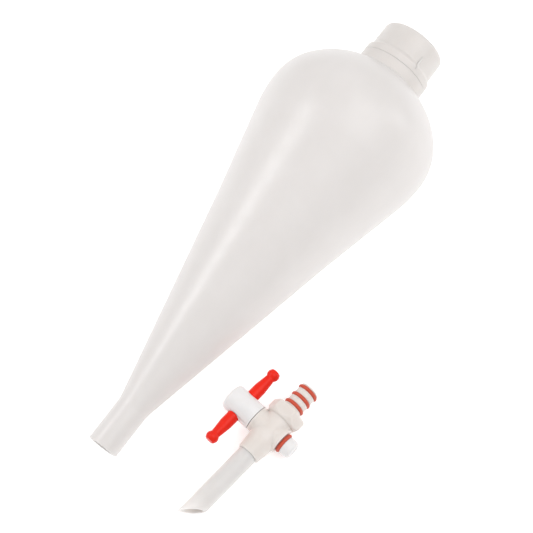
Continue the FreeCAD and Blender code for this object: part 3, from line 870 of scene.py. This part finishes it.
@dataclass
class TurningPlug:
    """The white taper plug, the red cross handle through its head, and its ring."""

    place: Matrix
    head_radius: float = 8.65
    head_end: float = 32.7
    head_corner: float = 2.4
    head_foot: float = 11.9
    seat_wide: float = 6.6
    seat_narrow: float = 5.8
    nub_radius: float = 5.8
    nub_start: float = 12.3
    nub_end: float = 18.9
    nub_corner: float = 1.8
    port: float = 2.5
    handle_place: float = 22.7
    handle_radius: float = 4.0
    waist: float = 2.95
    bulb: float = 4.05
    handle_end: float = 29.65
    ring_radius: float = 5.45
    ring_cord: float = 1.25
    ring_place: float = 11.0

    def plug(self) -> bpy.types.Object:
        """The plug, with its port and the hole that the handle passes through."""
        groove = self.ring_radius - self.ring_cord
        plug = turned("taper_plug", rounded([
            (0.0, -self.head_end), (self.head_radius, -self.head_end, self.head_corner),
            (self.head_radius, -self.head_foot, 0.4), (self.seat_wide, -self.head_foot),
            (self.seat_wide, -self.head_foot + 0.2), (self.seat_narrow, 9.6),
            (groove, 9.6, 0.2), (groove, self.nub_start, 0.2),
            (self.nub_radius, self.nub_start, 0.35),
            (self.nub_radius, self.nub_end, self.nub_corner),
            (2.6, self.nub_end, 0.3), (2.1, self.nub_end - 0.45, 0.3),
            (0.0, self.nub_end - 0.45)]), 128)
        lay(plug, ALONG_X)
        port = turned("port", rounded([(0.0, -9.0), (self.port, -9.0), (self.port, 9.0),
                                       (0.0, 9.0)]), 48)
        work_in(plug, port, Blend.CUT)
        hole = turned("handle_hole", rounded([
            (0.0, -12.0), (self.handle_radius, -12.0), (self.handle_radius, 12.0),
            (0.0, 12.0)]), 64)
        lay(hole, Matrix.Translation((-self.handle_place * MM, 0, 0)))
        work_in(plug, hole, Blend.CUT)
        self.ease_hole(plug)
        return plug

    def ease_hole(self, plug: bpy.types.Object) -> None:
        """Round the two edges where the handle's hole breaks out of the head."""

        def on_rim(place: Vector) -> bool:
            """Whether a vertex is on the hole's wall and on the head's skin."""
            across = math.hypot(place.x + self.handle_place, place.y)
            out = math.hypot(place.y, place.z)
            return (abs(across - self.handle_radius) < 0.02
                    and abs(out - self.head_radius) < 0.03)

        choose(plug, "EDGE", on_rim)
        bpy.ops.mesh.bevel(offset=0.3 * MM, segments=3, affect="EDGES")
        bpy.ops.object.mode_set(mode="OBJECT")

    def handle(self) -> bpy.types.Object:
        """The cross bar: each arm narrows from the head to a waist and ends in a knob."""
        arm: list[Corner] = [
            (3.05, self.handle_end, 1.0), (self.bulb, 27.4, 1.3), (3.95, 25.9, 0.9),
            (self.waist, 24.1, 0.8), (self.handle_radius, 15.0, 12.0)]
        down = [(out, -along, *corner) for out, along, *corner in reversed(arm)]
        return turned("cross_handle", rounded(
            [(0.0, self.handle_end), *arm, *down, (0.0, -self.handle_end)], turn=12.0), 72)

    def build(self, white: bpy.types.Material, red: bpy.types.Material,
              rubber: bpy.types.Material) -> None:
        """Make the plug, its handle and its ring and lay them in the housing."""
        plug = self.plug()
        shade(plug, 38.0)
        lay(plug, self.place)
        coat(plug, white)
        dress(plug, Slot.PLUG, "plug", "stopcock_plug")
        handle = self.handle()
        shade(handle, 50.0)
        lay(handle, self.place @ Matrix.Translation((-self.handle_place * MM, 0, 0)))
        coat(handle, red)
        dress(handle, Slot.HANDLE, "plug", "t_handle")
        ring = sealing_ring("retaining_seal", self.ring_radius, self.ring_cord)
        lay(ring, self.place @ Matrix.Translation((self.ring_place * MM, 0, 0)) @ ALONG_X)
        coat(ring, rubber)
        dress(ring, Slot.RING, "plug", "retaining_ring")


# ------------------------------------------------------------------ the studio

@dataclass(frozen=True)
class SoftBox:
    """One soft light: where it hangs, how large and how strong it is."""

    name: str
    azimuth: float
    elevation: float
    distance: float
    width: float
    height: float
    power: float

    def hang(self, target: Vector) -> None:
        """Add the light, turned to face the target."""
        clear()
        way = direction(self.azimuth, self.elevation)
        bpy.ops.object.light_add(type="AREA", location=target + way * self.distance)
        lamp = bpy.context.object
        lamp.name = self.name
        lamp.rotation_mode = "QUATERNION"
        lamp.rotation_quaternion = (-way).to_track_quat("-Z", "Y")
        lamp.data.shape = "RECTANGLE"
        lamp.data.size, lamp.data.size_y = self.width, self.height
        lamp.data.energy = self.power


def direction(azimuth: float, elevation: float) -> Vector:
    """The unit vector from the object towards this azimuth and elevation in degrees."""
    a, e = math.radians(azimuth), math.radians(elevation)
    return Vector((math.sin(a) * math.cos(e), -math.cos(a) * math.cos(e), math.sin(e)))


@dataclass
class Studio:
    """Camera, plain pale floor, even surrounding light and the soft lights."""

    azimuth: float = -52.5
    elevation: float = 61.1
    distance: float = 1.0354
    target: Corner = (0.0030, 0.0180, 0.0)
    lens: float = 108.9
    surroundings: float = 0.64
    floor_glow: float = 0.36

    def aim_camera(self) -> None:
        """Add the camera and make it the scene's."""
        clear()
        way = direction(self.azimuth, self.elevation)
        bpy.ops.object.camera_add(location=Vector(self.target) + way * self.distance)
        camera = bpy.context.object
        camera.name = "camera"
        camera.rotation_mode = "QUATERNION"
        camera.rotation_quaternion = (-way).to_track_quat("-Z", "Y")
        camera.data.sensor_width, camera.data.lens = 36.0, self.lens
        camera.data.clip_start, camera.data.clip_end = 0.05, 50.0
        bpy.context.scene.camera = camera

    def lay_floor(self) -> None:
        """A large pale matt floor that glows a little, like a lit table."""
        clear()
        bpy.ops.mesh.primitive_circle_add(vertices=96, radius=4.0, fill_type="NGON",
                                          location=(0, 0, -0.0002))
        floor = bpy.context.object
        floor.name = floor.data.name = "floor"
        graph = Graph("pale_floor")
        shader = graph.shader.inputs
        graph.feed(shader["Base Color"], graph.colours(
            graph.noise(60.0), (0.90, 0.90, 0.90), (0.92, 0.92, 0.92)))
        shader["Roughness"].default_value = 0.9
        shader["Specular IOR Level"].default_value = 0.1
        shader["Emission Color"].default_value = (1, 1, 1, 1)
        shader["Emission Strength"].default_value = self.floor_glow
        floor.data.materials.append(graph.material)

    def light(self) -> None:
        """Even white surroundings and the soft boxes."""
        scene = bpy.context.scene
        scene.view_settings.view_transform = "Standard"
        world = bpy.data.worlds.new("surroundings")
        world.use_nodes = True
        background = world.node_tree.nodes["Background"]
        background.inputs["Color"].default_value = (1.0, 1.0, 1.0, 1.0)
        background.inputs["Strength"].default_value = self.surroundings
        scene.world = world
        middle = Vector((0.0, 0.02, 0.04))
        for box in (
                SoftBox("left_box", -152.0, 45.0, 1.5, 0.42, 0.42, 6.0),
                SoftBox("top_box", 15.0, 66.0, 1.6, 1.2, 1.2, 9.2),
                SoftBox("right_box", 44.0, 26.0, 1.5, 0.4, 0.4, 2.2)):
            box.hang(middle)

    def build(self) -> None:
        """Set up the whole studio."""
        self.aim_camera()
        self.lay_floor()
        self.light()


# ------------------------------------------------------------------ everything

def funnel_axes(record: dict) -> Matrix:
    """The funnel's own axes, from the joint that turns the cap on it."""
    turn = next(j for j in record["behaviour"]["joints"] if j["name"] == "cap_turn")
    up = Vector(turn["axis"]).normalized()
    foot = Vector(turn["pos_m"]) - up * 0.310
    return own_axes(foot, Vector((0, 1, 0)).cross(up), up)


def stopcock_axes(record: dict) -> Matrix:
    """The stopcock's own axes, from its plug's joint and its spigot's mount."""
    turn = next(j for j in record["behaviour"]["joints"] if j["name"] == "plug_turn")
    spigot = next(m for m in record["mounts"] if m["name"] == "spigot")
    return own_axes(Vector(turn["pos_m"]), Vector(turn["axis"]), Vector(spigot["axis"]))


def main() -> None:
    """Build the studio and every sub-assembly in order."""
    logging.basicConfig(level=logging.INFO, format="%(name)s: %(message)s")
    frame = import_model()
    record = frame["record"]
    Studio().build()

    on_funnel, on_stopcock = funnel_axes(record), stopcock_axes(record)
    up, flow = on_funnel.col[2].to_3d(), on_stopcock.col[2].to_3d()
    milky = MilkyPlastic("milky_body", (0.72, 0.69, 0.675), (0.695, 0.665, 0.648), up,
                         satin=(0.33, 0.40), glow=0.25).make()
    beige = MilkyPlastic("warm_cap", (0.70, 0.665, 0.64), (0.67, 0.635, 0.61), up,
                         cloud=12.0, streak=3.0).make()
    foam = SolidPlastic("foam_disc", (0.86, 0.86, 0.84), (0.80, 0.80, 0.78), (0.7, 0.85)).make()
    warm = MilkyPlastic("warm_valve", (0.75, 0.70, 0.665), (0.71, 0.65, 0.605), flow,
                        cloud=9.0, streak=2.5).make()
    grey = MilkyPlastic("milky_tube", (0.74, 0.705, 0.685), (0.69, 0.655, 0.635), flow,
                        glow=0.8, glow_depth=5.0, cloud=11.0, streak=2.0).make()
    white = SolidPlastic("waxy_plug", (0.79, 0.775, 0.775), (0.76, 0.745, 0.74), (0.34, 0.46),
                         glow=0.3).make()
    red = SolidPlastic("glossy_red", (0.82, 0.020, 0.006), (0.74, 0.014, 0.004),
                       (0.30, 0.40), shine=0.22).make()
    brick = SealRubber("brick_rubber", (0.62, 0.075, 0.03), (0.50, 0.055, 0.022)).make()

    PearBody(on_funnel).build(milky, beige)
    Closure(on_funnel).build(beige, foam)
    StopcockHousing(on_stopcock).build(warm, grey, brick)
    TurningPlug(on_stopcock).build(white, red, brick)


if __name__ == "__main__":
    main()
